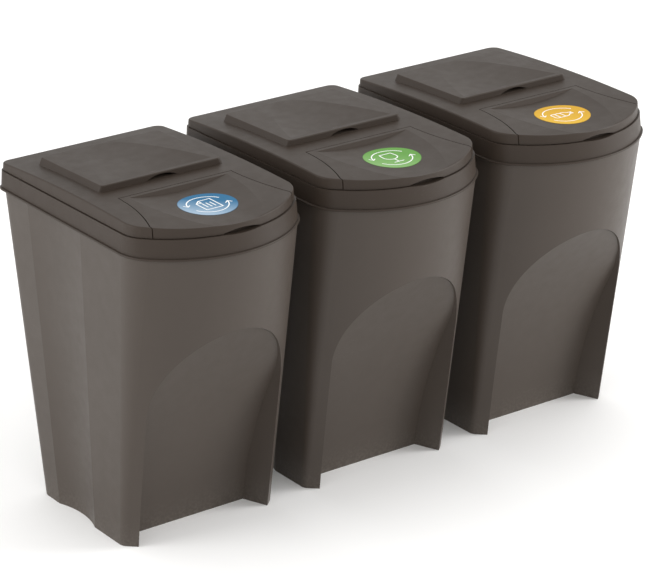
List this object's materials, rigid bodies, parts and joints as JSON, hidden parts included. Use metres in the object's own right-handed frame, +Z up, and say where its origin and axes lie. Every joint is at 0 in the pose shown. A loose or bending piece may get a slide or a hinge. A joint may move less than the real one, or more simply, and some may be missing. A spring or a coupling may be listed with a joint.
{
  "type": "recycling bin station",
  "caption": "Row of tapered plastic sorting bins, each with a bowed arched front, a lift-off collar, a hinged lid and a hinged front flap with a round sticker.",
  "frame": {"origin": "middle of the row's footprint, on the floor", "axes": "+X along the row of bins, -Y towards the flaps, +Z up"},
  "size_m": [0.9022, 0.4142, 0.503],
  "materials": {
    "bucket_plastic": "fine satin texture, warm grey-brown",
    "lid_plastic": "fine satin texture, warm grey-brown",
    "pin_plastic": "plain black",
    "clip_plastic": "plain satin",
    "sticker_blue": "printed vinyl, blue",
    "sticker_green": "printed vinyl, green",
    "sticker_yellow": "printed vinyl, yellow"
  },
  "bodies": {
    "station": {"bucket_1": "bucket_plastic", "bucket_2": "bucket_plastic", "bucket_3": "bucket_plastic", "clip_front_1": "clip_plastic", "clip_front_2": "clip_plastic", "clip_rear_1": "clip_plastic", "clip_rear_2": "clip_plastic"},
    "collar_1": {"rim_1": "lid_plastic"},
    "lid_1": {"lid_1": "lid_plastic", "lid_pin_left_1": "pin_plastic", "lid_pin_right_1": "pin_plastic"},
    "flap_1": {"flap_1": "lid_plastic", "sticker_1": "sticker_blue", "flap_pin_left_1": "pin_plastic", "flap_pin_right_1": "pin_plastic"},
    "collar_2": {"rim_2": "lid_plastic"},
    "lid_2": {"lid_2": "lid_plastic", "lid_pin_left_2": "pin_plastic", "lid_pin_right_2": "pin_plastic"},
    "flap_2": {"flap_2": "lid_plastic", "sticker_2": "sticker_green", "flap_pin_left_2": "pin_plastic", "flap_pin_right_2": "pin_plastic"},
    "collar_3": {"rim_3": "lid_plastic"},
    "lid_3": {"lid_3": "lid_plastic", "lid_pin_left_3": "pin_plastic", "lid_pin_right_3": "pin_plastic"},
    "flap_3": {"flap_3": "lid_plastic", "sticker_3": "sticker_yellow", "flap_pin_left_3": "pin_plastic", "flap_pin_right_3": "pin_plastic"}
  },
  "joints": [
    {"name": "collar_lift_1", "type": "slide", "parent": "station", "child": "collar_1", "axis": [0, 0, 1], "range_m": [0, 0.06]},
    {"name": "lid_hinge_1", "type": "hinge", "parent": "collar_1", "child": "lid_1", "pos_m": [-0.31, 0.2006, 0.48], "axis": [-1, 0, 0], "range_deg": [0, 95]},
    {"name": "flap_hinge_1", "type": "hinge", "parent": "lid_1", "child": "flap_1", "pos_m": [-0.31, -0.0412, 0.4919], "axis": [-1, 0, 0], "range_deg": [0, 80]},
    {"name": "collar_lift_2", "type": "slide", "parent": "station", "child": "collar_2", "axis": [0, 0, 1], "range_m": [0, 0.06]},
    {"name": "lid_hinge_2", "type": "hinge", "parent": "collar_2", "child": "lid_2", "pos_m": [0, 0.2006, 0.48], "axis": [-1, 0, 0], "range_deg": [0, 95]},
    {"name": "flap_hinge_2", "type": "hinge", "parent": "lid_2", "child": "flap_2", "pos_m": [0, -0.0412, 0.4919], "axis": [-1, 0, 0], "range_deg": [0, 80]},
    {"name": "collar_lift_3", "type": "slide", "parent": "station", "child": "collar_3", "axis": [0, 0, 1], "range_m": [0, 0.06]},
    {"name": "lid_hinge_3", "type": "hinge", "parent": "collar_3", "child": "lid_3", "pos_m": [0.31, 0.2006, 0.48], "axis": [-1, 0, 0], "range_deg": [0, 95]},
    {"name": "flap_hinge_3", "type": "hinge", "parent": "lid_3", "child": "flap_3", "pos_m": [0.31, -0.0412, 0.4919], "axis": [-1, 0, 0], "range_deg": [0, 80]}
  ]
}
